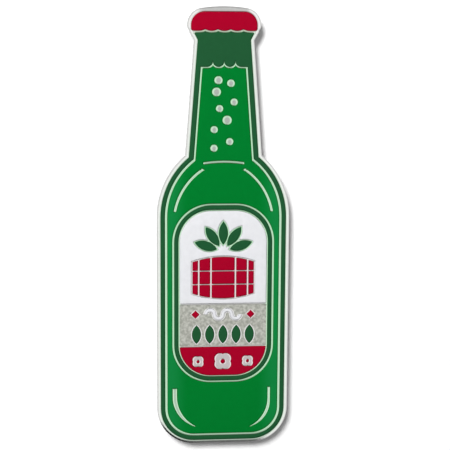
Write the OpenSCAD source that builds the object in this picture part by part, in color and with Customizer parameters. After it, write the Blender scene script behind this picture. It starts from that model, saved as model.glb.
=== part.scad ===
// Bottle-shaped souvenir opener: an enamelled face on a steel carrier, with a swing-out blade behind it.
// It lies on its back. X is across the bottle, Y runs from the base to the cap, Z points out of the face.
// Heights on the bottle are measured from its base edge.

/* [Bottle outline] */
// Overall length from the base edge to the top of the cap
bottle_length = 121.6; // [114:0.2:128]
// Width across the straight sides
body_width = 36.6; // [35:0.2:39]
// Radius of the two base corners
base_radius = 10.2; // [8:0.2:12]
// Height where the straight sides end and the shoulders start
side_height = 64.4; // [61:0.2:67]
// Radius of the shoulder arcs
shoulder_radius = 22.5; // [21:0.1:24]
// Width of the neck where it meets the shoulders
neck_foot_width = 21; // [20:0.1:22]
// Width of the neck under its collar
neck_top_width = 16.3; // [15.4:0.1:17]
// Width of the tapered collar under the cap
collar_width = 18.8; // [17.8:0.1:19.4]
// Height of the tapered collar
collar_height = 2.2; // [1.6:0.1:2.8]
// Width of the cap
cap_width = 20; // [19.4:0.1:21]
// Height of the cap above the collar
cap_height = 6.8; // [6.2:0.1:7.4]
// Radius of the cap's crowned top
crown_radius = 40; // [30:1:60]
// Radius of the cap's upper corners
cap_radius = 4.55; // [3.8:0.05:5]
// Radius of the cap's lower corners
cap_foot_radius = 1.7; // [1.4:0.1:2.2]

/* [Raised lines] */
// Width of the metal rim round the outline
rim_width = 1; // [0.8:0.05:1.3]
// Width of the metal rim round the cap
cap_rim = 1.05; // [0.8:0.05:1.3]
// Width of the dark border band inside the rim
border_width = 1.15; // [0.8:0.05:1.5]
// Width of the line between the border band and the glass of the body
line_width = 0.7; // [0.5:0.05:0.9]
// Width of that line along the neck
neck_line_width = 0.55; // [0.4:0.05:0.8]
// Width of the line under the cap
crimp_line = 0.6; // [0.4:0.05:0.8]
// Number of scallops along the cap's lower edge
crimp_count = 5; // [5:1:7]
// Distance between the cap's scallops
crimp_pitch = 3.45; // [3.2:0.05:3.8]
// Radius of the cap's scallops
crimp_radius = 3.9; // [3:0.1:5]
// How far the cap's scallops hang below the cap's own foot
crimp_drop = 0.7; // [0.5:0.05:0.9]
// Width of the line along the torn foil edge
foil_line = 0.5; // [0.35:0.05:0.6]
// Number of scallops along the torn foil edge
foil_count = 4; // [4:1:6]
// Distance between the foil's scallops
foil_pitch = 3.07; // [2.9:0.01:3.2]
// Radius of the foil's scallops
foil_radius = 1.54; // [1.4:0.02:1.7]
// Depth of the foil below the cap's foot
foil_depth = 7.75; // [6.5:0.05:9]

/* [Bubbles and glints] */
// Size of the nine bubbles against their drawn size
bubble_scale = 1; // [0.8:0.05:1.15]
// Width of the thin glint lines
glint_width = 0.75; // [0.5:0.05:0.9]
// Half length of the glint across the foot of the neck
neck_glint_half = 5.3; // [4.5:0.1:6]
// Radius that the neck glint is bowed to
neck_glint_radius = 35; // [28:1:50]
// Distance of the neck glint below the foot of the neck
neck_glint_drop = 1.7; // [1:0.1:2.2]
// Distance from the outline to the shoulder glints
glint_inset = 4.25; // [4:0.05:4.6]
// Radius of the shoulder glints
shoulder_glint_radius = 17.8; // [16.5:0.1:18.5]
// How far the middle of the shoulder glints' curve lies below the shoulders' start
shoulder_glint_drop = 1.6; // [0.8:0.1:2.4]
// Distance of the shoulder glints' lower ends below the label's head
shoulder_glint_foot = 2; // [1:0.1:3]
// Distance of the shoulder glints' upper ends below the foot of the neck
shoulder_glint_head = 3.9; // [3.2:0.1:5]
// Height of the base glints' upper ends
base_glint_head = 16; // [14.5:0.1:17]
// Distance from the outline's sides to the base glints' lower ends
base_glint_reach = 10.6; // [9.6:0.1:11.2]
// Distance from the outline to the left base glint
left_glint_inset = 4.2; // [3.9:0.05:4.6]
// Outer radius of the left base glint
left_glint_radius = 9.2; // [8.6:0.1:10]
// Height where the left base glint starts to curve
left_glint_middle = 13.5; // [12.8:0.1:14.2]
// Greatest thickness of the left base glint
left_glint_width = 1.3; // [1:0.05:1.5]
// How much larger the left base glint's inner radius is than its outer one
left_glint_bow = 0.6; // [0.3:0.1:0.9]
// Angle below the horizontal at which the left base glint is thickest
left_glint_lean = 5; // [0:1:15]
// Distance from the outline to the right base glint
right_glint_inset = 4.85; // [4.5:0.05:5.2]
// Outer radius of the right base glint
right_glint_radius = 7.7; // [7.2:0.1:8.4]
// Height where the right base glint starts to curve
right_glint_middle = 11.9; // [11.4:0.1:12.6]
// Greatest thickness of the right base glint
right_glint_width = 0.9; // [0.7:0.05:1.2]
// How much larger the right base glint's inner radius is than its outer one
right_glint_bow = 1.3; // [0.9:0.1:1.7]
// Angle below the horizontal at which the right base glint is thickest
right_glint_lean = 20; // [10:1:25]

/* [Label] */
// Distance from the outline's sides to the label
label_margin = 4.15; // [3.9:0.05:4.6]
// Height of the label's lower edge above the base edge
label_foot = 17.6; // [17:0.05:18.4]
// Corner radius of the label's outer line
label_radius = 10.75; // [9.5:0.05:12]
// Width of the label's outer line
label_line = 0.6; // [0.4:0.05:0.8]
// Width of the dark ring inside the label's outer line
ring_width = 1.1; // [0.9:0.05:1.5]
// Width of the thin lines round the label's panels
panel_line = 0.4; // [0.3:0.05:0.5]
// Height of the red foot panel above the ring
base_panel_height = 8.7; // [8:0.1:9]
// Height of the bare metal band
band_height = 12; // [11.7:0.1:12.9]
// Depth of the matt recess in the bare metal band
band_recess = 0.25; // [0.15:0.05:0.4]

/* [Label motifs] */
// Width of the metal line round each motif
motif_line = 0.35; // [0.25:0.05:0.4]
// Length of the cask
cask_length = 17; // [15:0.2:18.5]
// Height of the cask at its middle
cask_height = 11.6; // [10.4:0.2:12]
// Height of the cask at its ends
cask_end_height = 8.8; // [8:0.2:9.6]
// Distance from the bare band to the cask
cask_gap = 1.7; // [1.2:0.1:2.4]
// Width of the cask's hoops
hoop_width = 0.5; // [0.35:0.05:0.65]
// Distance between the cask's hoops
hoop_pitch = 3.4; // [3:0.1:3.7]
// Width of the lines between the cask's staves
stave_line = 0.32; // [0.25:0.01:0.45]
// Distance between the two stave lines
stave_pitch = 3.8; // [3:0.1:4.4]
// Number of leaves in the fan above the cask
leaf_count = 5; // [3:2:5]
// Angle between neighbouring leaves
leaf_angle = 36; // [34:1:40]
// Length of a leaf
leaf_length = 6.4; // [5.6:0.1:7]
// Width of a leaf
leaf_width = 2.5; // [2:0.1:2.8]
// Distance from the fan's centre to the foot of each leaf
leaf_root = 1.9; // [1.7:0.1:2.4]
// Distance from the top of the cask to the fan's centre
leaf_gap = 1.6; // [1.3:0.1:2]
// Distance from the middle leaf's tip to the head of the white panel
leaf_margin = 2.95; // [2:0.05:3.6]
// Number of grains in the row along the bare band
grain_count = 5; // [3:1:5]
// Length of a grain
grain_length = 5.2; // [4.6:0.1:5.4]
// Width of a grain
grain_width = 2.5; // [2:0.1:2.8]
// Distance between the grains
grain_pitch = 3.7; // [3.6:0.05:4]
// Distance from the band's foot to the middle of the grains
grain_rise = 3.4; // [3.3:0.1:3.6]
// Distance from the band's head to the middle of the wave
wave_drop = 2.9; // [2.4:0.1:3.1]
// Bend radius at the middle of the wave
wave_radius = 1.2; // [1:0.05:1.3]
// Thickness of the wave
wave_width = 0.9; // [0.6:0.05:1.1]
// Number of half bends in the wave
wave_count = 4; // [2:1:4]
// Distance from the middle to the red lozenges
lozenge_offset = 7.7; // [7.4:0.1:8.4]
// Width of a red lozenge
lozenge_width = 2.2; // [1.6:0.1:2.4]
// Distance from the sides of the foot panel to the middles of the outer rosettes
rosette_margin = 5.1; // [4.8:0.1:6]
// Width of the middle rosette
rosette_width = 5.4; // [4.4:0.1:6]
// Width of the outer rosettes
small_rosette_width = 3.6; // [2.9:0.1:4]
// Radius of a petal against the rosette's width
petal_share = 0.29; // [0.26:0.01:0.32]
// Radius of the open eye against the rosette's width
eye_share = 0.11; // [0.08:0.01:0.14]

/* [Thicknesses] */
// Thickness of the opener blade
blade_thickness = 2; // [1.8:0.1:2.6]
// Thickness of the friction washer
washer_thickness = 0.4; // [0.3:0.05:0.6]
// Thickness of the steel carrier
carrier_thickness = 1.4; // [1.2:0.1:2]
// Thickness of the adhesive film
film_thickness = 0.1; // [0.05:0.01:0.2]
// Thickness of the enamelled face
face_thickness = 2.6; // [2:0.1:3.4]
// Depth of the enamel cells
cell_depth = 0.8; // [0.6:0.05:1.2]
// How far the enamel stays below the metal lines
enamel_drop = 0.12; // [0.05:0.01:0.2]
// How far the carrier stays inside the face's outline
carrier_inset = 0.4; // [0.2:0.05:0.8]
// How far the film stays inside the carrier's outline
film_inset = 0.3; // [0.1:0.05:0.6]

/* [Opener blade] */
// Height of the blade's pivot above the base edge
pivot_height = 13.3; // [13:0.1:15]
// Width of the blade's wall outside its curved slot
tang_wall = 2.15; // [1.8:0.05:2.6]
// Width of the blade at its mouth
blade_width = 31; // [29.5:0.2:32]
// Reach of the blade from its pivot
blade_reach = 45; // [43:0.5:47]
// Radius of the blade's outer corners
blade_corner_radius = 8; // [6:0.2:9]
// Distance from the pivot to where the blade has its full width
blade_flare = 17; // [15:0.2:18]
// Width of the mouth that takes the crown cap
mouth_width = 23; // [22:0.2:24]
// Length of the mouth
mouth_length = 18; // [17:0.2:19]
// Distance from the pivot to the mouth
mouth_start = 19; // [18.4:0.1:19.6]
// Radius of the mouth's corners
mouth_radius = 4.5; // [3:0.1:6]
// Width of the tooth that lifts the cap
tooth_width = 11; // [9:0.2:12]
// Length of the tooth
tooth_length = 3.5; // [2.8:0.1:4]
// Radius of the tooth's corners
tooth_radius = 1.2; // [0.8:0.1:1.6]

/* [Pivot] */
// Radius of the rivet's shank
shank_radius = 3; // [2.6:0.05:3.2]
// Radius of the rivet's rear head
rear_head_radius = 5; // [4.6:0.1:5.2]
// Thickness of the rivet's rear head
rear_head_thickness = 0.9; // [0.7:0.05:1.1]
// Radius of the rivet's front head
front_head_radius = 4.5; // [4:0.1:5]
// Thickness of the rivet's front head
front_head_thickness = 0.7; // [0.5:0.05:0.9]
// Outer radius of the friction washer
washer_radius = 6; // [5.4:0.05:6.1]
// Radius of the stop pin
pin_radius = 1.2; // [1:0.05:1.3]
// Distance from the friction washer to the stop pin
pin_gap = 0.3; // [0.2:0.05:0.5]
// How far the stop pin's end stays above the blade's underside
pin_recess = 0.3; // [0.2:0.05:0.6]

/* [Clearances] */
// Running clearance of the blade's bore on the shank
bore_clearance = 0.05; // [0.02:0.01:0.1]
// Clearance round the rear head in the blade
head_clearance = 0.1; // [0.05:0.01:0.2]
// Axial clearance under the rear head
axial_clearance = 0.05; // [0.02:0.01:0.1]
// Clearance of the stop pin in the blade's slot
slot_clearance = 0.15; // [0.1:0.01:0.2]
// Clearance of the fixed pieces in the carrier
seat_clearance = 0.02; // [0.01:0.01:0.05]
// Gap between each enamel filling and its cell wall
enamel_gap = 0.02; // [0.01:0.01:0.05]

/* [Hidden] */
$fn = 64;

// Length that a cutting shape reaches past what it cuts
past = 1;
half_width = body_width / 2;

// Heights along the bottle
shoulder_centre = half_width - shoulder_radius;
neck_foot = side_height + sqrt(pow(shoulder_radius, 2) - pow(neck_foot_width / 2 - shoulder_centre, 2));
cap_foot = bottle_length - cap_height;
crown_foot = bottle_length - crown_radius;
cap_corner = cap_width / 2 - cap_radius;
cap_shoulder = crown_foot + sqrt(pow(crown_radius - cap_radius, 2) - pow(cap_corner, 2));
neck_top = cap_foot - collar_height;
neck_slope = (neck_foot_width - neck_top_width) / 2 / (neck_top - neck_foot);
collar_slope = (collar_width - neck_top_width) / 2 / collar_height;
crimp_height = cap_foot + rim_width - crimp_drop + crimp_radius;
foil_height = cap_foot - foil_depth;
neck_glass = foil_height - foil_radius - foil_line - neck_foot;

// Insets from the outline to the edges of the raised lines
field_inset = rim_width + border_width;
glass_inset = field_inset + line_width;
neck_field_inset = glass_inset - neck_line_width;
panel_inset = label_line + ring_width + panel_line;

// Heights on the label
base_panel_head = label_foot + label_line + ring_width + base_panel_height;
band_head = base_panel_head + band_height;
cask_middle = band_head + cask_gap + cask_height / 2;
leaf_centre = cask_middle + cask_height / 2 + leaf_gap;
label_head = leaf_centre + leaf_root + leaf_length + leaf_margin + panel_inset;
grain_middle = base_panel_head + grain_rise;
wave_middle = band_head - wave_drop;
rosette_middle = base_panel_head - base_panel_height / 2;
rosette_pitch = half_width - label_margin - panel_inset - rosette_margin;

// Levels of the stack
washer_level = blade_thickness;
carrier_level = washer_level + washer_thickness;
film_level = carrier_level + carrier_thickness;
face_level = film_level + film_thickness;
face_top = face_level + face_thickness;
cell_floor = face_top - cell_depth;
enamel_thickness = cell_depth - enamel_drop;

// Places on the blade
slot_half = pin_radius + slot_clearance;
pin_offset = washer_radius + pin_gap + pin_radius;
tang_radius = pin_offset + slot_half + tang_wall;

// Bubbles in the neck as shares of the height of its glass: place across, height above its foot, radius
bubbles = [
    [-0.065, 0.867, 0.049], [0.079, 0.832, 0.046], [-0.087, 0.733, 0.053],
    [0.117, 0.617, 0.044], [-0.051, 0.542, 0.044], [0.037, 0.409, 0.055],
    [-0.112, 0.3, 0.044], [0.068, 0.161, 0.044], [-0.114, 0.085, 0.044]
];

// Flat outlines

// Upright rectangle with round corners
module rounded(half, foot, head, foot_radius, head_radius) {
    polygon([
        [foot_radius - half, foot], [half - foot_radius, foot],
        [half, foot + foot_radius], [half, head - head_radius],
        [half - head_radius, head], [head_radius - half, head],
        [-half, head - head_radius], [-half, foot + foot_radius]
    ]);
    for (side = [-1, 1]) {
        translate([side * (half - foot_radius), foot + foot_radius]) mirror([0, 1]) half_disc(foot_radius);
        translate([side * (half - head_radius), head - head_radius]) half_disc(head_radius);
    }
}

module half_disc(radius) {
    intersection() {
        circle(radius);
        translate([-radius, 0]) square([2 * radius, radius]);
    }
}

// Pointed oval that stands on the origin
module almond(length, width, grow = 0) {
    radius = (pow(length, 2) + pow(width, 2)) / (4 * width);
    intersection_for (side = [-1, 1])
        translate([side * (radius - width / 2), length / 2]) circle(radius + grow);
}

// Everything above a row of scallops, whose outermost halves run out straight
module above_scallops(count, pitch, radius, height, grow) {
    last = (count - 1) / 2 * pitch;
    for (i = [0 : count - 1])
        translate([i * pitch - last, height]) circle(radius + grow);
    for (side = [-1, 1])
        translate([side * (last + body_width / 2), height])
            square([body_width, 2 * (radius + grow)], center = true);
    translate([-body_width, height]) square([2 * body_width, bottle_length]);
}

module above_crimp(grow) {
    above_scallops(crimp_count, crimp_pitch, crimp_radius, crimp_height, grow);
}

module above_foil_edge(grow) {
    above_scallops(foil_count, foil_pitch, foil_radius, foil_height, grow);
}

module level_strip(foot, head) {
    translate([-body_width, foot]) square([2 * body_width, head - foot]);
}

// Body, shoulders, neck and collar, drawn in by an inset, with one of its own along the neck
module stem(inset, neck_inset) {
    slanted_inset = neck_inset * sqrt(1 + pow(neck_slope, 2));
    foot_half = neck_top_width / 2 + neck_slope * (neck_top - side_height) - slanted_inset;
    top_half = neck_top_width / 2 - slanted_inset;
    collar_half = collar_width / 2 - inset * sqrt(1 + pow(collar_slope, 2));
    hidden_top = cap_foot + cap_height / 2;
    body_half = half_width - inset;
    body_radius = base_radius - inset;
    polygon([
        [body_radius - body_half, inset], [body_half - body_radius, inset],
        [body_half, inset + body_radius], [body_half, side_height],
        [-body_half, side_height], [-body_half, inset + body_radius]
    ]);
    for (side = [-1, 1])
        translate([side * (body_half - body_radius), inset + body_radius]) circle(body_radius);
    intersection() {
        translate([shoulder_centre, side_height]) circle(shoulder_radius - inset);
        translate([-shoulder_centre, side_height]) circle(shoulder_radius - inset);
        level_strip(side_height - past, neck_top);
    }
    polygon([
        [-foot_half, side_height], [foot_half, side_height],
        [top_half, neck_top], [-top_half, neck_top]
    ]);
    polygon([
        [-top_half, neck_top], [top_half, neck_top], [collar_half, cap_foot],
        [collar_half, hidden_top], [-collar_half, hidden_top], [-collar_half, cap_foot]
    ]);
}

// Cap whose crowned top runs smoothly into its upper corners
module cap(inset) {
    crown_half = cap_corner * (crown_radius - inset) / (crown_radius - cap_radius);
    rounded(cap_width / 2 - inset, cap_foot + inset, cap_shoulder + cap_radius - inset,
        cap_foot_radius - inset, cap_radius - inset);
    intersection() {
        translate([0, crown_foot]) circle(crown_radius - inset);
        translate([-crown_half, cap_shoulder]) square([2 * crown_half, cap_height]);
    }
}

module bottle(inset) {
    stem(inset, inset);
    cap(inset);
}

module label(inset) {
    rounded(half_width - label_margin - inset, label_foot + inset, label_head - inset,
        label_radius - inset, label_radius - inset);
}

// Raised shapes on the glass, each with a grow distance

module bubble_discs(grow) {
    for (b = bubbles)
        translate([b[0] * neck_glass, neck_foot + b[1] * neck_glass])
            circle(b[2] * neck_glass * bubble_scale + grow);
}

module neck_glint(grow) {
    half = glint_width / 2 + grow;
    drop = neck_glint_radius - sqrt(pow(neck_glint_radius, 2) - pow(neck_glint_half, 2));
    middle = neck_foot - neck_glint_drop;
    intersection() {
        translate([0, middle - neck_glint_radius]) difference() {
            circle(neck_glint_radius + half);
            circle(neck_glint_radius - half);
        }
        translate([-neck_glint_half, middle - neck_glint_radius])
            square([2 * neck_glint_half, 2 * neck_glint_radius]);
    }
    for (side = [-1, 1])
        translate([side * neck_glint_half, middle - drop]) circle(half);
}

module shoulder_glint(grow) {
    half = glint_width / 2 + grow;
    middle_x = half_width - glint_inset - glint_width / 2 - shoulder_glint_radius;
    middle_y = side_height - shoulder_glint_drop;
    foot = label_head - shoulder_glint_foot;
    head = neck_foot - shoulder_glint_head;
    intersection() {
        translate([middle_x, middle_y]) difference() {
            circle(shoulder_glint_radius + half);
            circle(shoulder_glint_radius - half);
        }
        translate([0, foot]) square([half_width, head - foot]);
    }
    for (end = [foot, head])
        translate([middle_x + sqrt(pow(shoulder_glint_radius, 2) - pow(end - middle_y, 2)), end])
            circle(half);
}

// Disc with an upright stretch as wide as itself
module upright_disc(radius) {
    circle(radius);
    translate([-radius, 0]) square(2 * radius);
}

// Crescent on the right of the base, upright above its curve and tapered to its lower end
module base_glint(inset, radius, middle, width, bow, lean, grow) {
    shift = width + bow;
    end = half_width - base_glint_reach;
    translate([0, middle]) intersection() {
        translate([half_width - inset - radius, 0]) difference() {
            upright_disc(radius + grow);
            translate([-shift * cos(lean), shift * sin(lean)]) upright_disc(radius + bow - grow);
        }
        translate([end - grow, -radius - grow])
            square([radius + grow, radius + base_glint_head - middle + 2 * grow]);
    }
}

module glints(grow) {
    neck_glint(grow);
    shoulder_glint(grow);
    mirror([1, 0]) shoulder_glint(grow);
    base_glint(right_glint_inset, right_glint_radius, right_glint_middle,
        right_glint_width, right_glint_bow, right_glint_lean, grow);
    mirror([1, 0])
        base_glint(left_glint_inset, left_glint_radius, left_glint_middle,
            left_glint_width, left_glint_bow, left_glint_lean, grow);
}

// Label motifs, each with a grow distance

module cask(grow) {
    bulge = (cask_height - cask_end_height) / 2;
    radius = (pow(cask_length / 2, 2) + pow(bulge, 2)) / (2 * bulge);
    intersection() {
        cask_bulges(radius, grow);
        translate([-cask_length / 2 - grow, cask_middle - cask_height])
            square([cask_length + 2 * grow, 2 * cask_height]);
    }
}

module cask_bulges(radius, grow) {
    intersection_for (side = [-1, 1])
        translate([0, cask_middle + side * (radius - cask_height / 2)]) circle(radius + grow);
}

module cask_lines(grow) {
    for (place = [-2, -1, 1, 2])
        translate([place * hoop_pitch - hoop_width / 2 - grow, cask_middle - cask_height])
            square([hoop_width + 2 * grow, 2 * cask_height]);
    for (side = [-1, 1])
        translate([-cask_length, cask_middle + side * stave_pitch / 2 - stave_line / 2 - grow])
            square([2 * cask_length, stave_line + 2 * grow]);
}

module leaves(grow) {
    for (i = [0 : leaf_count - 1])
        translate([0, leaf_centre]) rotate((i - (leaf_count - 1) / 2) * leaf_angle)
            translate([0, leaf_root]) almond(leaf_length, leaf_width, grow);
}

module grains(grow) {
    for (i = [0 : grain_count - 1])
        translate([(i - (grain_count - 1) / 2) * grain_pitch, grain_middle - grain_length / 2])
            almond(grain_length, grain_width, grow);
}

module wave(grow) {
    outer = wave_radius + wave_width / 2 + grow;
    inner = wave_radius - wave_width / 2 - grow;
    for (i = [0 : wave_count - 1])
        translate([(2 * i - wave_count + 1) * wave_radius, wave_middle]) rotate(180 * (i % 2))
            intersection() {
                difference() {
                    circle(outer);
                    circle(inner);
                }
                translate([-outer, 0]) square([2 * outer, outer]);
            }
}

module lozenges(grow) {
    for (side = [-1, 1])
        translate([side * lozenge_offset, wave_middle]) rotate(45)
            square(lozenge_width / sqrt(2) + 2 * grow, center = true);
}

// Four round petals with an open centre
module rosette(width, grow) {
    petal = width * petal_share;
    reach = width / 2 - petal;
    eye = width * eye_share;
    difference() {
        union() {
            circle(reach);
            for (turn = [0 : 90 : 270])
                rotate(turn + 45) translate([reach, 0]) circle(petal + grow);
        }
        circle(eye - grow);
    }
}

module rosettes(grow) {
    translate([0, rosette_middle]) rosette(rosette_width, grow);
    for (side = [-1, 1])
        translate([side * rosette_pitch, rosette_middle]) rosette(small_rosette_width, grow);
}

// Enamel cells, each drawn in by a gap

module cap_cell(gap) {
    crimp_foot = crimp_height - crimp_radius;
    intersection() {
        rounded(cap_width / 2 - cap_rim - gap, crimp_foot + gap, cap_shoulder + cap_radius - cap_rim - gap,
            cap_foot_radius - cap_rim, cap_radius - cap_rim - gap);
        above_crimp(-gap);
    }
}

module foil_cell(gap) {
    difference() {
        stem(rim_width + gap, rim_width + gap);
        above_crimp(crimp_line + gap);
        difference() {
            stem(field_inset - gap, neck_field_inset - gap);
            above_foil_edge(-gap);
        }
    }
}

module bottle_cell(gap) {
    difference() {
        stem(glass_inset + gap, glass_inset + gap);
        above_foil_edge(foil_line + gap);
        label(-gap);
        bubble_discs(gap);
        glints(gap);
    }
}

module label_ring_cell(gap) {
    difference() {
        label(label_line + gap);
        label(label_line + ring_width - gap);
    }
}

module panel(foot, head, gap) {
    intersection() {
        label(panel_inset + gap);
        level_strip(foot + gap, head - gap);
    }
}

module label_field_cell(gap) {
    difference() {
        panel(band_head + panel_line / 2, label_head, gap);
        cask(motif_line + gap);
        leaves(motif_line + gap);
    }
}

module cask_cell(gap) {
    difference() {
        cask(-gap);
        cask_lines(gap);
    }
}

module label_base_cell(gap) {
    difference() {
        panel(label_foot, base_panel_head - panel_line / 2, gap);
        rosettes(gap);
    }
}

module band_floor() {
    difference() {
        panel(base_panel_head + panel_line / 2, band_head - panel_line / 2, 0);
        grains(motif_line);
        wave(motif_line);
        lozenges(motif_line);
    }
}

module all_cells() {
    cap_cell(0);
    foil_cell(0);
    bottle_cell(0);
    label_ring_cell(0);
    label_field_cell(0);
    cask_cell(0);
    leaves(0);
    wave(0);
    lozenges(0);
    grains(0);
    label_base_cell(0);
}

// Places a shape drawn from the base edge so that the origin lies under the middle of the bottle
module in_frame(level) {
    translate([0, -bottle_length / 2, level]) children();
}

module at_pivot(level) {
    in_frame(level) translate([0, pivot_height]) children();
}

module enamel() {
    in_frame(cell_floor) linear_extrude(enamel_thickness) children();
}

// Sub-parts

module face_plate() {
    color("gainsboro") difference() {
        in_frame(face_level) linear_extrude(face_thickness) bottle(0);
        in_frame(cell_floor) linear_extrude(cell_depth + past) all_cells();
        in_frame(face_top - band_recess) linear_extrude(band_recess + past) band_floor();
    }
}

module cap_enamel() {
    color([0.69, 0.02, 0.16]) enamel() cap_cell(enamel_gap);
}

module foil_enamel() {
    color([0.14, 0.36, 0.22]) enamel() foil_cell(enamel_gap);
}

module bottle_enamel() {
    color([0, 0.47, 0.18]) enamel() bottle_cell(enamel_gap);
}

module label_ring_enamel() {
    color([0.18, 0.33, 0.22]) enamel() label_ring_cell(enamel_gap);
}

module label_field_enamel() {
    color([0.93, 0.93, 0.94]) enamel() label_field_cell(enamel_gap);
}

module cask_enamel() {
    color([0.69, 0.02, 0.16]) enamel() cask_cell(enamel_gap);
}

module leaf_enamel() {
    color([0.14, 0.36, 0.22]) enamel() leaves(-enamel_gap);
}

module wave_enamel() {
    color([0.93, 0.93, 0.94]) enamel() wave(-enamel_gap);
}

module lozenge_enamel() {
    color([0.69, 0.02, 0.16]) enamel() lozenges(-enamel_gap);
}

module grain_enamel() {
    color([0.14, 0.36, 0.22]) enamel() grains(-enamel_gap);
}

module label_base_enamel() {
    color([0.64, 0.05, 0.17]) enamel() label_base_cell(enamel_gap);
}

module bond_film() {
    color("dimgray") in_frame(film_level) linear_extrude(film_thickness) bottle(carrier_inset + film_inset);
}

module carrier_plate() {
    color("silver") difference() {
        in_frame(carrier_level) linear_extrude(carrier_thickness) bottle(carrier_inset);
        at_pivot(carrier_level - past)
            cylinder(h = carrier_thickness + 2 * past, r = shank_radius + seat_clearance);
        at_pivot(film_level - front_head_thickness)
            cylinder(h = front_head_thickness + past, r = front_head_radius + seat_clearance);
        at_pivot(carrier_level - past) translate([pin_offset, 0])
            cylinder(h = carrier_thickness + 2 * past, r = pin_radius + seat_clearance);
    }
}

// Outline of the blade, drawn from its pivot
module blade_outline() {
    blade_half = blade_width / 2;
    circle(tang_radius);
    polygon([
        [-tang_radius, 0], [tang_radius, 0], [blade_half, blade_flare],
        [blade_half, blade_reach - blade_corner_radius], [-blade_half, blade_reach - blade_corner_radius],
        [-blade_half, blade_flare]
    ]);
    rounded(blade_half, blade_flare, blade_reach, blade_corner_radius, blade_corner_radius);
}

module mouth() {
    difference() {
        rounded(mouth_width / 2, mouth_start, mouth_start + mouth_length, mouth_radius, mouth_radius);
        rounded(tooth_width / 2, mouth_start - tooth_length, mouth_start + tooth_length,
            tooth_radius, tooth_radius);
    }
}

// Half-round slot that lets the blade swing half a turn round the stop pin
module limit_slot() {
    outer = pin_offset + slot_half;
    intersection() {
        difference() {
            circle(outer);
            circle(pin_offset - slot_half);
        }
        translate([-outer, -outer]) square([2 * outer, outer]);
    }
    for (side = [-1, 1])
        translate([side * pin_offset, 0]) circle(slot_half);
}

module opener_blade() {
    head_seat = axial_clearance + rear_head_thickness + axial_clearance;
    color("lightgray") difference() {
        at_pivot(0) linear_extrude(blade_thickness) difference() {
            blade_outline();
            mouth();
            limit_slot();
        }
        at_pivot(-past) cylinder(h = blade_thickness + 2 * past, r = shank_radius + bore_clearance);
        at_pivot(-past) cylinder(h = head_seat + past, r = rear_head_radius + head_clearance);
    }
}

module pivot_rivet() {
    rear_face = axial_clearance;
    rear_seat = rear_face + rear_head_thickness;
    front_seat = film_level - front_head_thickness;
    color("darkgray") at_pivot(0) rotate_extrude() polygon([
        [0, rear_face], [rear_head_radius, rear_face],
        [rear_head_radius, rear_seat], [shank_radius, rear_seat],
        [shank_radius, front_seat], [front_head_radius, front_seat],
        [front_head_radius, film_level], [0, film_level]
    ]);
}

module friction_washer() {
    color("goldenrod") at_pivot(washer_level) difference() {
        cylinder(h = washer_thickness, r = washer_radius);
        translate([0, 0, -past]) cylinder(h = washer_thickness + 2 * past, r = shank_radius + bore_clearance);
    }
}

module stop_pin() {
    color("darkgray") at_pivot(pin_recess) translate([pin_offset, 0])
        cylinder(h = film_level - pin_recess, r = pin_radius);
}

face_plate();
cap_enamel();
foil_enamel();
bottle_enamel();
label_ring_enamel();
label_field_enamel();
cask_enamel();
leaf_enamel();
wave_enamel();
lozenge_enamel();
grain_enamel();
label_base_enamel();
bond_film();
carrier_plate();
opener_blade();
pivot_rivet();
friction_washer();
stop_pin();
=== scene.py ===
"""Looks of a bottle-shaped souvenir opener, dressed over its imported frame.

Every node of the frame is a stack of flat faces that upright walls join. Each node is rebuilt here from its
own outlines, with eased edges on the metal and on the enamel, so its places and sizes always come from the
frame. Outlines are worked on in millimetres, and the meshes are written in metres.
"""

import math

import bpy
import numpy as np
from mathutils import Matrix, Vector, geometry, kdtree


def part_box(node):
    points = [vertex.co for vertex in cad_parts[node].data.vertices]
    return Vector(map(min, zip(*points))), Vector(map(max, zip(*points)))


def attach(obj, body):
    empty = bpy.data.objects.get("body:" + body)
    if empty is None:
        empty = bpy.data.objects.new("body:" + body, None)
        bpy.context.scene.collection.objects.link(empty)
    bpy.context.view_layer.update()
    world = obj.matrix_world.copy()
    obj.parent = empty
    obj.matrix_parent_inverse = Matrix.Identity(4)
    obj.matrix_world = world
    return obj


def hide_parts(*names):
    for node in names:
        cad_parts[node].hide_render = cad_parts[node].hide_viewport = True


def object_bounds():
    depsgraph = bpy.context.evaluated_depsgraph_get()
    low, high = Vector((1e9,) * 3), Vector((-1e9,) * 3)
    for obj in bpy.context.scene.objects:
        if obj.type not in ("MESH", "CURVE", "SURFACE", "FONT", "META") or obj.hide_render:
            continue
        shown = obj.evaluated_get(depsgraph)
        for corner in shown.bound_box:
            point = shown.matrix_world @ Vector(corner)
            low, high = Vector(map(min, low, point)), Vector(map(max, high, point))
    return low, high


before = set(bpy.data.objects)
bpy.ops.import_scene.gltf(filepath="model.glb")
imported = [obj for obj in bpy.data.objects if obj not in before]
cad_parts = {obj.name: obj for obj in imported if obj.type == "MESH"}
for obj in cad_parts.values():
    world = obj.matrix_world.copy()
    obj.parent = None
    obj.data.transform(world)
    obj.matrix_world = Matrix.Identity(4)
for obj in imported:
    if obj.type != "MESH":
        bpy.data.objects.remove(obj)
cad_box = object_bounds()

MM = 0.001

# Camera, in metres: almost straight above the face, a little towards the cap and the left
CAMERA_PLACE = (-0.03075, 0.05228, 0.33553)
CAMERA_AIM = (0.00041, 0.0015, 0.0065)
CAMERA_ROLL = math.radians(0.30)
CAMERA_LENS = 97.2
CAMERA_SENSOR = 36.0
CAMERA_NEAR = 0.01

# Reading the outlines, in millimetres
LEVEL_SLACK = 0.002
LEVEL_DIGITS = 3
KEY_DIGITS = 4
SAME_POINT = 0.0005
OUTLINE_STEP = 0.28
POINT_GAP = 0.045
SAMPLE_STEP = 0.04
CDT_SLACK = 1e-6

# Lowest roundness of an outline that counts as a disc
ROUND_ENOUGH = 0.97

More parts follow.
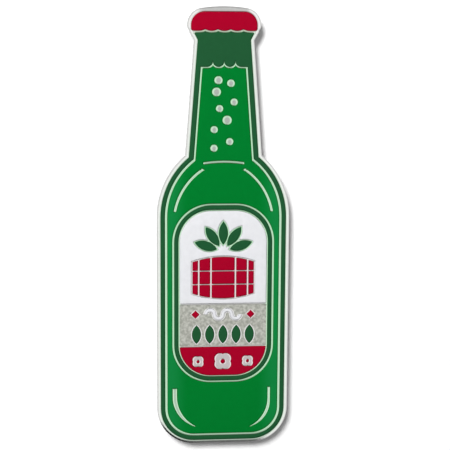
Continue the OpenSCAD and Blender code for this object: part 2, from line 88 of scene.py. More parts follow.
# A corner's step inward: its shortest length with a direction, and the least cosine that divides its length
SHORTEST = 1e-6
CORNER_LIMIT = 0.5

# Share of its distance from the outline that a ring's point has to keep
RING_SHARE = 0.9

# Quarter turns of an eased edge where it gets a ring of points
EASE_TURNS = (0.45, 0.7, 1.0)

# Shares of a bevel where it gets a ring of points, and how it bends: 1 is straight
BEVEL_SHARES = (0.3, 0.6, 0.85, 0.95, 1.0)
BEVEL_BEND = 1.15

# Only edges of walls that turn by more than this are sharp. Walls are the faces with four corners
SHARP_ANGLE = math.radians(42)
WALL_CORNERS = 4

# Greatest depth of the band's bare ground below the face's top, in millimetres
GROUND_DEPTH = 0.5

# Grains of the materials: width of the spots in metres, and how finely they break up
GRAINS = {
    "enamel_cloud": (0.0016, 3.0),
    "enamel_gloss": (0.0009, 4.0),
    "enamel_wave": (0.0011, 1.0),
    "plating_cloud": (0.0012, 3.0),
    "plating_gloss": (0.0006, 4.0),
    "plating_wave": (0.0005, 2.0),
    "die_marks": (0.00018, 3.0),
    "sand_cloud": (0.0008, 4.0),
    "sand_gloss": (0.0005, 2.0),
    "sand": (0.00022, 2.0),
    "brush": (0.00016, 3.0),
    "brush_smear": (0.0024, 3.0),
    "bead_specks": (0.00035, 3.0),
    "bead_mottle": (0.006, 3.0),
    "rub_patches": (0.008, 2.0),
    "glue_cloud": (0.0008, 3.0),
    "glue_gloss": (0.0005, 2.0),
    "glue_wave": (0.0004, 2.0),
}

# How many times longer than wide the spots of some grains are, along X, Y and Z
DIE_STRETCH = (1, 1, 14)
BRUSH_STRETCH = (1, 60, 1)
SMEAR_STRETCH = (1, 8, 1)

# Rings round an axis: their width in metres and how finely they break up
RUB_RINGS = 0.0006
LATHE_RINGS = 0.00017
RING_DETAIL = 2.0

# Depths of the fine unevenness, in metres
BUMPS = {
    "enamel": 0.000006,
    "plating": 0.000003,
    "die_marks": 0.000006,
    "sand": 0.00002,
    "brush": 0.000004,
    "beads": 0.000008,
    "lathe": 0.000008,
    "glue": 0.00001,
}

# Roughness where a grain is low and where it is high
ROUGHNESS = {
    "enamel": (0.10, 0.18),
    "plating": (0.11, 0.19),
    "die_marks": (0.34, 0.46),
    "sand": (0.42, 0.55),
    "brush": (0.20, 0.36),
    "beads": (0.46, 0.34),
    "lathe": (0.16, 0.28),
    "glue": (0.45, 0.65),
}

# Enamel: its colours, its clouds as shares of them, and the painted shade along its wall over so many
# millimetres.
# Towards the bottle's sides the bright green pales, over a stretch given in metres from the middle
RED = (0.345, 0.001, 0.0185)
DARK_GREEN = (0.0135, 0.085, 0.030)
BRIGHT_GREEN = (0.0, 0.173, 0.0225)
BRIGHT_GREEN_SIDES = (0.005, 0.205, 0.044)
WHITE = (0.72, 0.725, 0.75)
ENAMEL_CLOUDS = (0.93, 1.07)
ENAMEL_WALL_PAINTED_SHADE = 0.85
ENAMEL_EDGE = 0.22
ENAMEL_SPECULAR = 0.03
SIDE_SPAN = (0.0095, 0.0145)

# Bright plating: its colours, its painted shades at walls and at the rim over distances in millimetres, and
# the satin finish of the bubbles, with a painted shade that darkens towards their tops
PLATING_COLORS = ((0.82, 0.82, 0.805), (0.92, 0.92, 0.905))
PLATING_WALL_PAINTED_SHADE = 0.85
PLATING_EDGE = 0.1
RIM_PAINTED_SHADE = 0.68
RIM_SPAN = (0.0, 0.6)
BUBBLE_TOP_PAINTED_SHADE = 0.72
TOP_SPAN = (0.40, 0.66)
BUBBLE_ROUGHNESS = 0.42
BUBBLE_SPAN = (0.0, 0.2)

# Painted reflection of the enamel's colour on the plating beside it: how far it reaches, and how far from
# the outline it has its full strength, both in millimetres
REFLECTION_REACH = 0.42
REFLECTION_RIM = 2.0
GREEN_PAINTED_REFLECTION = (0.46, 1.0, 0.54)
RED_PAINTED_REFLECTION = (1.0, 0.84, 0.86)
GREEN_NODES = ["foil_enamel", "bottle_enamel", "label_ring_enamel", "leaf_enamel"]
RED_NODES = ["cap_enamel", "cask_enamel", "lozenge_enamel", "label_base_enamel"]
PAINTED_REFLECTIONS = [(GREEN_NODES, GREEN_PAINTED_REFLECTION), (RED_NODES, RED_PAINTED_REFLECTION)]

# Sheared side wall, whose colours hold a painted shade over the die's real marks, and the band's sanded
# ground
SHADED_DIE_COLORS = ((0.53, 0.53, 0.52), (0.72, 0.72, 0.71))
SAND_COLORS = ((0.43, 0.44, 0.385), (0.715, 0.72, 0.655))
SAND_METALLIC = 0.7
# Painted shade of the sanded ground along its walls
SAND_WALL_PAINTED_SHADE = 0.9
SAND_EDGE = 0.2

# Brushed blade: shares of its colour in streaks and smears, and its polish near the edges in millimetres
BLADE_COLOR = (0.50, 0.50, 0.49)
STREAK_SHARES = (0.74, 1.16)
SMEAR_SHARES = (0.86, 1.0)
POLISH = 1.3
POLISH_SPAN = (0.1, 0.4)

# Blasted carrier: shares of its colour in specks and mottles, and the arcs that the blade rubs in
CARRIER_COLOR = (0.40, 0.40, 0.395)
SPECK_SHARES = (0.78, 1.16)
MOTTLE_SHARES = (0.9, 1.0)
SWEPT_SHARE = 0.95
PATCH_SPAN = (0.4, 0.6)
ARC_SPAN = (0.52, 0.66)
ARC_SHINE = 1.3

# Turned pieces and the glue
RIVET_COLOR = (0.74, 0.74, 0.73)
PIN_COLOR = (0.6, 0.6, 0.6)
BRASS_COLOR = (0.72, 0.50, 0.20)
LATHE_SHARES = (0.84, 1.1)
GLUE_COLORS = ((0.055, 0.055, 0.055), (0.10, 0.10, 0.095))

# Floor, in metres. It glows faintly where it is seen, and to plain white far off
FLOOR_HALF = 3.0
FLOOR_GAP = 0.00002
FLOOR_COLOR = (0.95, 0.95, 0.95)
FLOOR_GLOW = 0.055
FLOOR_FAR_GLOW = 1.0
FLOOR_FAR_SPAN = (0.05, 0.3)

# Tent: its even light on the object, and what metal shows of it: grey above, darker past the base, white at
# both sides of a middle, and nearly black one way
TENT_LIGHT = 0.15
TENT_TOP = 0.62
TENT_NEAR = 0.16
TENT_NEAR_SPAN = (-0.8, -0.3)
TENT_SIDES = 1.04
TENT_SIDE_SPAN = (0.1, 0.36)
TENT_MIDDLE = 0.09
TENT_FOOT = 0.02
TENT_DARK_WAY = (-0.45, -0.89, 0)
TENT_DARK_SPAN = (0.83, 0.93)
PLAIN_WHITE = (1, 1, 1, 1)

# Lamp that casts the shadow, in metres and watts
KEY_PLACE = (-0.176, 0.285, 0.62)
KEY_SIZE = 0.18
KEY_POWER = 5.55


def make_camera():
    camera = bpy.data.objects.new("camera", bpy.data.cameras.new("camera"))
    bpy.context.scene.collection.objects.link(camera)
    place = Vector(CAMERA_PLACE)
    back = (place - Vector(CAMERA_AIM)).normalized()
    right = Vector((0, 1, 0)).cross(back).normalized()
    axes = Matrix((right, back.cross(right), back)).transposed().to_4x4()
    camera.matrix_world = Matrix.Translation(place) @ axes @ Matrix.Rotation(CAMERA_ROLL, 4, "Z")
    camera.data.lens = CAMERA_LENS
    camera.data.sensor_width = CAMERA_SENSOR
    camera.data.clip_start = CAMERA_NEAR
    bpy.context.scene.camera = camera


# Outlines of the frame's nodes


def key(point):
    return (round(float(point[0]), KEY_DIGITS), round(float(point[1]), KEY_DIGITS))


def sides(loop):
    """Pairs of neighbours round a closed loop."""
    return list(zip(loop, loop[1:] + loop[:1]))


def flat_edges(node):
    """Edges round the flat faces of a node, by height and facing. From above, the face is on their left."""
    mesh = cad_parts[node].data
    points = np.array([v.co for v in mesh.vertices]) / MM
    flats = {}
    for polygon in mesh.polygons:
        corners = [points[i] for i in polygon.vertices]
        heights = [c[2] for c in corners]
        if max(heights) - min(heights) > LEVEL_SLACK:
            continue
        facing = 1 if polygon.normal.z > 0 else -1
        ring = [key(c) for c in corners][::facing]
        edges = flats.setdefault((round(float(heights[0]), LEVEL_DIGITS), facing), {})
        for a, b in sides(ring):
            if edges.pop((b, a), None) is None:
                edges[(a, b)] = True
    return flats


def chain(edges):
    """Closed loops of points from a set of directed edges."""
    onward = {}
    for a, b in edges:
        onward.setdefault(a, []).append(b)
    loops = []
    while onward:
        start = next(iter(onward))
        loop = [start]
        while True:
            here = loop[-1]
            after = onward[here].pop()
            if not onward[here]:
                del onward[here]
            if after == start:
                break
            loop.append(after)
        loops.append(loop)
    return loops


def upper_loops(node):
    """Outlines of a node's faces that look up."""
    upper = [edges for (_, facing), edges in flat_edges(node).items() if facing > 0]
    return [loop for edges in upper for loop in chain(edges)]


def resample(loop):
    """The same loop with its long stretches split evenly, alike from either end."""
    points = []
    for a, b in sides(loop):
        first, last = sorted((a, b))
        pieces = max(1, math.ceil(math.dist(a, b) / OUTLINE_STEP))
        places = range(pieces) if a == first else range(pieces, 0, -1)
        run = (last[0] - first[0], last[1] - first[1])
        points += [key((first[0] + run[0] * i / pieces, first[1] + run[1] * i / pieces)) for i in places]
    return points


def roundness(loop):
    """1 for a disc, less for any other outline, and below 0 for the outline of a hole."""
    p = np.array(loop)
    q = np.roll(p, -1, axis=0)
    area = float(np.sum(p[:, 0] * q[:, 1] - q[:, 0] * p[:, 1])) / 2
    length = float(np.sum(np.linalg.norm(q - p, axis=1)))
    return 4 * math.pi * area / length**2


# Reliefs: how a face falls near its outline, by a reach and a depth in millimetres


def eased(reach, depth):
    """A rounded edge that falls by depth over the last stretch of the face."""

    def lift(distance):
        share = 1 - min(distance / reach, 1)
        return -depth * (1 - math.sqrt(max(0.0, 1 - share * share)))

    return {"rings": [reach * (1 - math.cos(t * math.pi / 2)) for t in EASE_TURNS], "lift": lift}


def beveled(reach, depth):
    """A slanted edge with a soft start."""

    def lift(distance):
        share = 1 - min(distance / reach, 1)
        return -depth * share**BEVEL_BEND

    return {"rings": [reach * s for s in BEVEL_SHARES], "lift": lift}


LINE_EASE = eased(0.35, 0.22)
BUBBLE_EASE = eased(0.8, 0.25)
RIM_EASE = beveled(0.8, 0.45)
BACK_EASE = eased(0.15, 0.15)
ENAMEL_EASE = eased(0.3, 0.13)
PLATE_EASE = eased(0.25, 0.25)
RIVET_DOME = eased(4.4, 0.3)


# Faces


def nearest_tree(loops):
    """Tree of closely spaced points along some loops."""
    samples = []
    for loop in loops:
        for a, b in sides(loop):
            pieces = max(1, math.ceil(math.dist(a, b) / SAMPLE_STEP))
            run = (b[0] - a[0], b[1] - a[1])
            samples += [(a[0] + run[0] * i / pieces, a[1] + run[1] * i / pieces) for i in range(pieces)]
    tree = kdtree.KDTree(len(samples))
    for i, s in enumerate(samples):
        tree.insert((s[0], s[1], 0), i)
    tree.balance()
    return tree


def distance_to(tree, point):
    return tree.find((point[0], point[1], 0))[2]


def inward(loop):
    """For each point of a loop, the step to its left that keeps an even distance from both its edges."""
    p = np.array(loop)
    ahead = np.roll(p, -1, axis=0) - p
    ahead /= np.linalg.norm(ahead, axis=1)[:, None]
    behind = np.roll(ahead, 1, axis=0)
    left, left_behind = ahead[:, ::-1] * (-1, 1), behind[:, ::-1] * (-1, 1)
    middle = left + left_behind
    middle /= np.maximum(np.linalg.norm(middle, axis=1), SHORTEST)[:, None]
    return middle / np.maximum(np.sum(middle * left, axis=1), CORNER_LIMIT)[:, None]


def ring_points(loops, reliefs, tree):
    """Points inside a face where its relief bends, none crowded or past the middle of a line."""
    taken = {}
    kept = []

    def crowded(x, y):
        cell = (int(x // POINT_GAP), int(y // POINT_GAP))
        cells = [(cell[0] + i, cell[1] + j) for i in (-1, 0, 1) for j in (-1, 0, 1)]
        if any(math.dist(q, (x, y)) < POINT_GAP for c in cells for q in taken.get(c, [])):
            return True
        taken.setdefault(cell, []).append((x, y))
        return False

    for loop, relief in zip(loops, reliefs):
        if relief is None:
            continue
        steps = inward(loop)
        for reach in relief["rings"]:
            for point, step in zip(loop, steps):
                x, y = point[0] + step[0] * reach, point[1] + step[1] * reach
                distance = distance_to(tree, (x, y))
                if distance > RING_SHARE * reach and distance > POINT_GAP / 2 and not crowded(x, y):
                    kept.append((x, y))
    return kept


def inside_triangles(points, edges):
    """Triangles of a face from its points and directed outline edges."""
    flat = [Vector(p) for p in points]
    made = geometry.delaunay_2d_cdt(flat, edges, [], 0, CDT_SLACK)
    places, triangles, origins = made[0], made[2], made[3]
    output = {source: i for i, sources in enumerate(origins) for source in sources}
    outline = {(output[a], output[b]) for a, b in edges}
    owners = {side: t for t, corners in enumerate(triangles) for side in sides(corners)}
    inside = {owners[e] for e in outline if e in owners}
    wave = list(inside)
    while wave:
        for a, b in sides(triangles[wave.pop()]):
            other = owners.get((b, a))
            if other is not None and (a, b) not in outline and other not in inside:
                inside.add(other)
                wave.append(other)
    return [tuple(p) for p in places], [triangles[t] for t in sorted(inside)]


def relieved_face(loops, reliefs):
    """Points of a face with their lifts and their distances from its outline, and its triangles."""
    tree = nearest_tree(loops)
    shapes = {id(r): r for r in reliefs if r}
    trees = {i: nearest_tree([p for p, r in zip(loops, reliefs) if r is shapes[i]]) for i in shapes}
    points, edges = [], []
    for loop in loops:
        start = len(points)
        points += loop
        edges += [(start + i, start + (i + 1) % len(loop)) for i in range(len(loop))]
    points += ring_points(loops, reliefs, tree)
    places, triangles = inside_triangles(points, edges)
    lifts = [sum(shapes[i]["lift"](distance_to(trees[i], p)) for i in shapes) for p in places]
    return places, lifts, [distance_to(tree, p) for p in places], triangles


# Pieces


def finish_piece(name, node, body, vertices, faces, paints, distances, materials):
    """A mesh that rides on a body in a node's place. Its points carry their distances from the next wall."""
    mesh = bpy.data.meshes.new(name)
    mesh.from_pydata([tuple(c * MM for c in v) for v in vertices], [], faces)
    for material in materials:
        mesh.materials.append(material)
    mesh.polygons.foreach_set("material_index", paints)
    mesh.polygons.foreach_set("use_smooth", [True] * len(faces))
    mesh.set_sharp_from_angle(angle=SHARP_ANGLE)
    walls = {tuple(sorted(side)) for f in faces if len(f) == WALL_CORNERS for side in sides(f)}
    for edge in mesh.edges:
        edge.use_edge_sharp = edge.use_edge_sharp and tuple(sorted(edge.vertices)) in walls
    mesh.attributes.new("wall", "FLOAT", "POINT").data.foreach_set("value", distances)
    piece = bpy.data.objects.new(name, mesh)
    bpy.context.scene.collection.objects.link(piece)
    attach(piece, body)
    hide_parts(node)
    return piece


def dress(name, node, body, materials, relief_of, paint_of=None, wall_paint=0):
    """Rebuilds a node as a piece that rides on a body.

    relief_of(level, facing, loop) gives the relief of a face along an outward edge, or None for none.
    paint_of(level, facing) gives the number of a face's material, and wall_paint is that of the walls.
    """
    flats = {flat: [resample(loop) for loop in chain(edges)] for flat, edges in flat_edges(node).items()}
    levels = {}
    for (level, _), loops in flats.items():
        for side in [side for loop in loops for side in sides(loop)]:
            levels.setdefault(frozenset(side), []).append(level)
    vertices, faces, paints, distances, rims = [], [], [], [], {}
    for (level, facing), loops in flats.items():
        reliefs = []
        for loop in loops:
            others = [z for z in levels[frozenset(loop[:2])] if z != level]
            outward = bool(others) and (level - others[0]) * facing > 0
            reliefs.append(relief_of(level, facing, loop) if outward else None)
        places, lifts, away, triangles = relieved_face(loops, reliefs)
        first = len(vertices)
        vertices += [(x, y, level + facing * lift) for (x, y), lift in zip(places, lifts)]
        distances += away
        faces += [[first + i for i in corners[::facing]] for corners in triangles]
        paints += [paint_of(level, facing) if paint_of else 0] * len(triangles)
        at = {key(p): first + i for i, p in enumerate(places)}
        for a, b in [side for loop in loops for side in sides(loop)]:
            rims.setdefault(frozenset((a, b)), []).append((facing, at[a], at[b]))
    for pair in rims.values():
        if len(pair) != 2:
            continue
        (facing, a, b), (_, c, d) = pair
        if math.dist(vertices[a][:2], vertices[c][:2]) > SAME_POINT:
            c, d = d, c
        faces.append([b, a, c, d][::facing])
        paints.append(wall_paint)
    return finish_piece(name, node, body, vertices, faces, paints, distances, materials)


# Shader nodes


def add(tree, kind, inputs=None, **settings):
    """A shader node with its settings, and its inputs linked or set."""
    made = tree.nodes.new(kind)
    for name, value in settings.items():
        setattr(made, name, value)
    connect(tree, made, inputs or {})
    return made


def connect(tree, node, inputs):
    for name, value in inputs.items():
        if isinstance(value, bpy.types.NodeSocket):
            tree.links.new(value, node.inputs[name])
        else:
            node.inputs[name].default_value = value


def calc(tree, operation, *values):
    """Result of a Math node."""
    return add(tree, "ShaderNodeMath", dict(enumerate(values)), operation=operation).outputs[0]


def vector_calc(tree, operation, *values):
    """Result of a Vector Math node: a number for a length or a dot product, otherwise a vector."""
    made = add(tree, "ShaderNodeVectorMath", dict(enumerate(values)), operation=operation)
    return made.outputs["Value" if operation in ("LENGTH", "DOT_PRODUCT") else "Vector"]


def new_material(name):
    material = bpy.data.materials.new(name)
    material.use_nodes = True
    return material, material.node_tree, material.node_tree.nodes["Principled BSDF"]


def object_place(tree):
    return add(tree, "ShaderNodeTexCoord").outputs["Object"]


def grain(tree, name, stretch=(1, 1, 1)):
    """Noise over the object, from 0 to 1."""
    size, detail = GRAINS[name]
    stretching = {"Vector": object_place(tree), "Scale": [1 / s for s in stretch]}
    stretched = add(tree, "ShaderNodeMapping", stretching).outputs[0]
    inputs = {"Vector": stretched, "Scale": 1 / size, "Detail": detail}
    return add(tree, "ShaderNodeTexNoise", inputs).outputs["Fac"]


def remap(tree, value, low, high, start=0.3, end=0.7):
    """A value that runs from low to high while the input runs from start to end."""
    inputs = {"Value": value, "From Min": start, "From Max": end, "To Min": low, "To Max": high}
    return add(tree, "ShaderNodeMapRange", inputs, interpolation_type="SMOOTHSTEP").outputs["Result"]


def tint(tree, factor, first, second):
    """A colour between two others, each of them fixed or from a node."""
    first, second = [c if isinstance(c, bpy.types.NodeSocket) else (*c, 1) for c in (first, second)]
    inputs = {"Fac": factor, "Color1": first, "Color2": second}
    return add(tree, "ShaderNodeMixRGB", inputs).outputs["Color"]


def scaled(color, share):
    return tuple(min(c * share, 1.0) for c in color)


def spread_color(tree, factor, color, shares):
    """A colour that runs between two shares of itself."""
    return tint(tree, factor, scaled(color, shares[0]), scaled(color, shares[1]))


def shaded(tree, color, amount):
    inputs = {"Fac": 1.0, "Color1": color, "Color2": amount}
    return add(tree, "ShaderNodeMixRGB", inputs, blend_type="MULTIPLY").outputs["Color"]


def bump(tree, height, name):
    """Normal of a surface with fine unevenness."""
    inputs = {"Height": height, "Distance": BUMPS[name], "Strength": 1.0}
    return add(tree, "ShaderNodeBump", inputs).outputs["Normal"]


def distance_from(tree, attribute):
    """One of the distances in millimetres that a piece's points carry."""
    return add(tree, "ShaderNodeAttribute", attribute_name=attribute).outputs["Fac"]


def radius_from(tree, middle):
    """Distance in metres from an upright axis."""
    offset = vector_calc(tree, "SUBTRACT", object_place(tree), (*middle[:2], 0))
    return vector_calc(tree, "LENGTH", vector_calc(tree, "MULTIPLY", offset, (1, 1, 0)))


def rings(tree, radius, width):
    """Noise in rings of a given width, from 0 to 1."""
    inputs = {"W": radius, "Scale": 1 / width, "Detail": RING_DETAIL}
    return add(tree, "ShaderNodeTexNoise", inputs, noise_dimensions="1D").outputs["Fac"]


# Materials


def enamel(name, color, side_color=None):
    """Fired glassy colour: faintly cloudy, a little wavy, and darker along its wall as a painted shade.

    It may have another colour towards the sides of the bottle.
    """
    material, tree, shader = new_material(name)
    cloud = spread_color(tree, grain(tree, "enamel_cloud"), color, ENAMEL_CLOUDS)
    if side_color:
        across = add(tree, "ShaderNodeSeparateXYZ", {0: object_place(tree)}).outputs["X"]
        aside = calc(tree, "ABSOLUTE", across)
        cloud = tint(tree, remap(tree, aside, 0.0, 1.0, *SIDE_SPAN), cloud, side_color)
    # Painted shade: the enamel darkens where it meets its walls
    edge = remap(tree, distance_from(tree, "wall"), ENAMEL_WALL_PAINTED_SHADE, 1.0, 0.0, ENAMEL_EDGE)
    connect(tree, shader, {
        "Base Color": shaded(tree, cloud, edge),
        "Roughness": remap(tree, grain(tree, "enamel_gloss"), *ROUGHNESS["enamel"]),
        "Specular IOR Level": ENAMEL_SPECULAR,
        "Normal": bump(tree, grain(tree, "enamel_wave"), "enamel"),
    })
    return material


def plated_metal():
    """Bright plating over a casting: satin on bubbles, with painted shade at its walls, at the rim and on
    the bubbles' tops, and a painted reflection of the enamel beside it.
    """
    material, tree, shader = new_material("plated_metal")
    color = tint(tree, grain(tree, "plating_cloud"), *PLATING_COLORS)
    wall, rim, bubble = [distance_from(tree, name) for name in ("wall", "rim", "bubble")]
    # Painted shades: darker near the walls, at the rim's outer edge and towards the bubbles' tops
    at_wall = remap(tree, wall, PLATING_WALL_PAINTED_SHADE, 1.0, 0.0, PLATING_EDGE)
    edge = shaded(tree, at_wall, remap(tree, rim, RIM_PAINTED_SHADE, 1.0, *RIM_SPAN))
    painted_shades = shaded(tree, edge, remap(tree, bubble, 1.0, BUBBLE_TOP_PAINTED_SHADE, *TOP_SPAN))
    # Painted reflection: the enamel's colour laid over the plating beside it
    painted_reflection = add(tree, "ShaderNodeAttribute", attribute_name="painted_reflection").outputs["Color"]
    bright = remap(tree, grain(tree, "plating_gloss"), *ROUGHNESS["plating"])
    connect(tree, shader, {
        "Base Color": shaded(tree, shaded(tree, color, painted_shades), painted_reflection),
        "Metallic": 1.0,
        "Roughness": remap(tree, bubble, bright, BUBBLE_ROUGHNESS, *BUBBLE_SPAN),
        "Normal": bump(tree, grain(tree, "plating_wave"), "plating"),
    })
    return material


def sheared_metal():
    """The plates' side walls: plated over the fine upright marks of the cutting die, and painted darker than
    the face as their shade.
    """
    material, tree, shader = new_material("sheared_metal")
    marks = grain(tree, "die_marks", DIE_STRETCH)
    connect(tree, shader, {
        "Base Color": tint(tree, remap(tree, marks, 0.0, 1.0), *SHADED_DIE_COLORS),
        "Metallic": 1.0,
        "Roughness": remap(tree, marks, *ROUGHNESS["die_marks"]),
        "Normal": bump(tree, marks, "die_marks"),
    })
    return material


def sanded_metal():
    """The band's bare ground, struck with a fine sand grain."""
    material, tree, shader = new_material("sanded_metal")
    color = tint(tree, remap(tree, grain(tree, "sand_cloud"), 0.0, 1.0), *SAND_COLORS)
    # Painted shade: the sanded ground darkens where it meets its walls
    edge = remap(tree, distance_from(tree, "wall"), SAND_WALL_PAINTED_SHADE, 1.0, 0.0, SAND_EDGE)
    connect(tree, shader, {
        "Base Color": shaded(tree, color, edge),
        "Metallic": SAND_METALLIC,
        "Roughness": remap(tree, grain(tree, "sand_gloss"), *ROUGHNESS["sand"]),
        "Normal": bump(tree, grain(tree, "sand"), "sand"),
    })
    return material


def brushed_steel(name, color):
    """Stainless sheet brushed along the bottle, with edges that the hand has polished."""
    material, tree, shader = new_material(name)
    streak = remap(tree, grain(tree, "brush", BRUSH_STRETCH), 0.0, 1.0)
    smear = remap(tree, grain(tree, "brush_smear", SMEAR_STRETCH), *SMEAR_SHARES)
    brushed = shaded(tree, spread_color(tree, streak, color, STREAK_SHARES), smear)
    polish = remap(tree, distance_from(tree, "wall"), POLISH, 1.0, *POLISH_SPAN)
    connect(tree, shader, {
        "Base Color": shaded(tree, brushed, polish),
        "Metallic": 1.0,
        "Roughness": remap(tree, streak, *ROUGHNESS["brush"], 0.0, 1.0),
        "Normal": bump(tree, streak, "brush"),
    })
    return material


def blasted_steel(name, color, axis, reach):
    """Bead-blasted sheet, with faint arcs that a swinging blade rubs in as far as it reaches."""
    material, tree, shader = new_material(name)
    speck = grain(tree, "bead_specks")
    mottle = remap(tree, grain(tree, "bead_mottle"), *MOTTLE_SHARES)
    cloud = shaded(tree, spread_color(tree, speck, color, SPECK_SHARES), mottle)
    radius = radius_from(tree, axis)
    swept = remap(tree, radius, 1.0, 0.0, SWEPT_SHARE * reach, reach)
    patchy = shaded(tree, swept, remap(tree, grain(tree, "rub_patches"), 0.0, 1.0, *PATCH_SPAN))
    rubbed = shaded(tree, remap(tree, rings(tree, radius, RUB_RINGS), 0.0, 1.0, *ARC_SPAN), patchy)
    connect(tree, shader, {
        "Base Color": shaded(tree, cloud, remap(tree, rubbed, 1.0, ARC_SHINE, 0.0, 1.0)),
        "Metallic": 1.0,
        "Roughness": remap(tree, rubbed, *ROUGHNESS["beads"], 0.0, 1.0),
        "Normal": bump(tree, speck, "beads"),
    })
    return material


def turned_metal(name, color, middle):
    """Lathe-turned metal, with rings round its own middle."""
    material, tree, shader = new_material(name)
    ring = rings(tree, radius_from(tree, middle), LATHE_RINGS)
    connect(tree, shader, {
        "Base Color": spread_color(tree, remap(tree, ring, 0.0, 1.0), color, LATHE_SHARES),
        "Metallic": 1.0,
        "Roughness": remap(tree, ring, *ROUGHNESS["lathe"]),
        "Normal": bump(tree, ring, "lathe"),
    })
    return material


def adhesive():
    material, tree, shader = new_material("adhesive")
    connect(tree, shader, {
        "Base Color": tint(tree, grain(tree, "glue_cloud"), *GLUE_COLORS),
        "Roughness": remap(tree, grain(tree, "glue_gloss"), *ROUGHNESS["glue"]),
        "Normal": bump(tree, grain(tree, "glue_wave"), "glue"),
    })
    return material


# Reliefs and materials of the pieces' faces

face_low, face_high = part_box("face_plate")
face_top = round(face_high.z / MM, LEVEL_DIGITS)
outline_length = (face_high.y - face_low.y) / MM
rivet_back = round(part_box("pivot_rivet")[0].z / MM, LEVEL_DIGITS)


def is_outline(loop):
    """True for the outline of the whole face."""
    heights = [p[1] for p in loop]
    return max(heights) - min(heights) > outline_length - LEVEL_SLACK


def is_bubble(loop):
    return roundness(loop) > ROUND_ENOUGH


def face_relief(level, facing, loop):
    if facing < 0:
        return BACK_EASE
    if is_outline(loop):
        return RIM_EASE
    return BUBBLE_EASE if is_bubble(loop) else LINE_EASE


def face_paint(level, facing):
    return 1 if facing > 0 and face_top - GROUND_DEPTH < level < face_top else 0


def enamel_relief(level, facing, loop):
    return ENAMEL_EASE if facing > 0 else None


def plate_relief(level, facing, loop):
    return PLATE_EASE


def rivet_relief(level, facing, loop):
    return RIVET_DOME if level == rivet_back else PLATE_EASE


def film_relief(level, facing, loop):
    return None


def mark_face(piece):
    """Gives the face's points their distances from the outline and into the bubbles, and the painted
    reflection of the enamel beside them.
    """
    loops = upper_loops("face_plate")
    outline = nearest_tree([loop for loop in loops if is_outline(loop)])
    cells = [(nearest_tree([p for n in nodes for p in upper_loops(n)]), painted_reflection) for nodes, painted_reflection in PAINTED_REFLECTIONS]
    discs = [np.array(loop) for loop in loops if is_bubble(loop)]
    bubbles = [(disc.mean(axis=0), math.dist(disc[0], disc.mean(axis=0))) for disc in discs]
    rims, depths, painted_reflections = [], [], []
    for vertex in piece.data.vertices:
        place = (vertex.co.x / MM, vertex.co.y / MM)
        rim = distance_to(outline, place)
        rims.append(rim)
        depths.append(max([0.0] + [radius - math.dist(middle, place) for middle, radius in bubbles]))
        strength = min(rim / REFLECTION_RIM, 1.0)
        shares = [strength * math.exp(-distance_to(tree, place) / REFLECTION_REACH) for tree, _ in cells]
        for c in range(3):
            lost = sum(share * (1 - painted_reflection[c]) for share, (_, painted_reflection) in zip(shares, cells))
            painted_reflections.append(max(0.0, 1 - lost))
        painted_reflections.append(1.0)
    attributes = piece.data.attributes
    attributes.new("rim", "FLOAT", "POINT").data.foreach_set("value", rims)
    attributes.new("bubble", "FLOAT", "POINT").data.foreach_set("value", depths)
    attributes.new("painted_reflection", "FLOAT_COLOR", "POINT").data.foreach_set("color", painted_reflections)


def middle_of(node):
    low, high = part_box(node)
    return tuple((low + high) / 2)


# Light and floor


def make_floor():
    mesh = bpy.data.meshes.new("floor")
    level = cad_box[0][2] - FLOOR_GAP
    corners = [(-1, -1), (1, -1), (1, 1), (-1, 1)]
    mesh.from_pydata([(x * FLOOR_HALF, y * FLOOR_HALF, level) for x, y in corners], [], [(0, 1, 2, 3)])
    material, tree, shader = new_material("floor")
    rays = add(tree, "ShaderNodeLightPath").outputs
    seen = calc(tree, "MAXIMUM", rays["Is Camera Ray"], rays["Is Glossy Ray"])
    shown = calc(tree, "MAXIMUM", seen, rays["Is Transmission Ray"])
    away = vector_calc(tree, "LENGTH", object_place(tree))
    glow = remap(tree, away, FLOOR_GLOW, FLOOR_FAR_GLOW, *FLOOR_FAR_SPAN)
    connect(tree, shader, {
        "Base Color": (*FLOOR_COLOR, 1),
        "Roughness": 1.0,
        "Specular IOR Level": 0.0,
        "Emission Color": PLAIN_WHITE,
        "Emission Strength": calc(tree, "MULTIPLY", shown, glow),
    })
    mesh.materials.append(material)
    floor = bpy.data.objects.new("floor", mesh)
    bpy.context.scene.collection.objects.link(floor)


def make_world():
    """An even light, in a tent that metal shows: white at the sides, grey above and dark past the base."""
    world = bpy.data.worlds.new("tent")
    bpy.context.scene.world = world
    world.use_nodes = True
    tree = world.node_tree

    def background(strength):
        return add(tree, "ShaderNodeBackground", {"Color": PLAIN_WHITE, "Strength": strength}).outputs[0]

    def mixed(factor, first, second):
        return add(tree, "ShaderNodeMixShader", {0: factor, 1: first, 2: second}).outputs[0]

    way = add(tree, "ShaderNodeTexCoord").outputs["Generated"]
    parts = add(tree, "ShaderNodeSeparateXYZ", {0: way}).outputs
    sideways = calc(tree, "ABSOLUTE", calc(tree, "SUBTRACT", parts["X"], TENT_MIDDLE))
    above = remap(tree, parts["Y"], TENT_NEAR, TENT_TOP, *TENT_NEAR_SPAN)
    walls = remap(tree, sideways, above, TENT_SIDES, *TENT_SIDE_SPAN)
    slant = vector_calc(tree, "DOT_PRODUCT", way, TENT_DARK_WAY)
    foot = remap(tree, slant, 1.0, TENT_FOOT, *TENT_DARK_SPAN)
    shown = background(calc(tree, "MULTIPLY", walls, foot))
    rays = add(tree, "ShaderNodeLightPath").outputs
    mirrored = calc(tree, "MAXIMUM", rays["Is Glossy Ray"], rays["Is Transmission Ray"])
    lit = mixed(mirrored, background(TENT_LIGHT), shown)
    seen = mixed(rays["Is Camera Ray"], lit, background(1.0))
    connect(tree, tree.nodes["World Output"], {"Surface": seen})


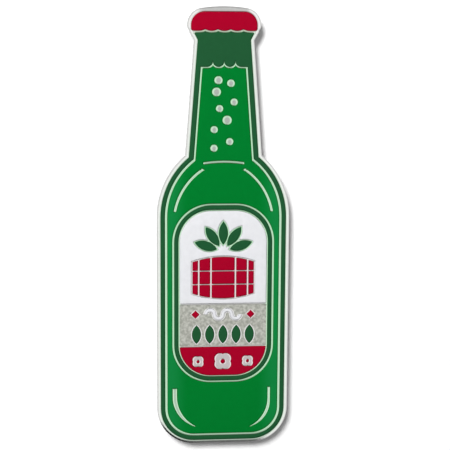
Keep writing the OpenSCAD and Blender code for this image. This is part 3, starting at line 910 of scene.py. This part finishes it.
def make_key():
    """The lamp that casts the shadow. Its own mirror image is kept out of the polished edges."""
    lamp = bpy.data.objects.new("key", bpy.data.lights.new("key", "AREA"))
    lamp.data.shape = "DISK"
    lamp.data.size = KEY_SIZE
    lamp.data.energy = KEY_POWER
    lamp.location = KEY_PLACE
    lamp.rotation_euler = Vector(KEY_PLACE).to_track_quat("Z", "Y").to_euler()
    lamp.visible_glossy = False
    bpy.context.scene.collection.objects.link(lamp)


# The scene

make_camera()

metal = plated_metal()
sanded = sanded_metal()
sheared = sheared_metal()
red = enamel("red_enamel", RED)
dark_green = enamel("dark_green_enamel", DARK_GREEN)
bright_green = enamel("bright_green_enamel", BRIGHT_GREEN, BRIGHT_GREEN_SIDES)
white = enamel("white_enamel", WHITE)
pivot = middle_of("pivot_rivet")
blade_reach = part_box("opener_blade")[1].y - pivot[1]
carrier_steel = blasted_steel("carrier_steel", CARRIER_COLOR, pivot, blade_reach)
blade_steel = brushed_steel("blade_steel", BLADE_COLOR)
rivet_steel = turned_metal("rivet_steel", RIVET_COLOR, pivot)
pin_steel = turned_metal("pin_steel", PIN_COLOR, middle_of("stop_pin"))
brass = turned_metal("washer_brass", BRASS_COLOR, middle_of("friction_washer"))
glue = adhesive()

mark_face(dress("face", "face_plate", "bottle", [metal, sanded, sheared], face_relief, face_paint, 2))

ENAMELS = {
    "cap_enamel": red,
    "foil_enamel": dark_green,
    "bottle_enamel": bright_green,
    "label_ring_enamel": dark_green,
    "label_field_enamel": white,
    "cask_enamel": red,
    "leaf_enamel": dark_green,
    "wave_enamel": white,
    "lozenge_enamel": red,
    "grain_enamel": dark_green,
    "label_base_enamel": red,
}
for enamel_node, enamel_material in ENAMELS.items():
    dress(enamel_node + "_fill", enamel_node, "bottle", [enamel_material], enamel_relief)

dress("carrier", "carrier_plate", "bottle", [carrier_steel, sheared], plate_relief, None, 1)
dress("blade", "opener_blade", "blade", [blade_steel], plate_relief)
dress("rivet", "pivot_rivet", "bottle", [rivet_steel], rivet_relief)
dress("washer", "friction_washer", "bottle", [brass], plate_relief)
dress("pin", "stop_pin", "bottle", [pin_steel], plate_relief)
dress("film", "bond_film", "bottle", [glue], film_relief)

make_floor()
make_world()
make_key()

bpy.context.scene.view_settings.view_transform = "Standard"
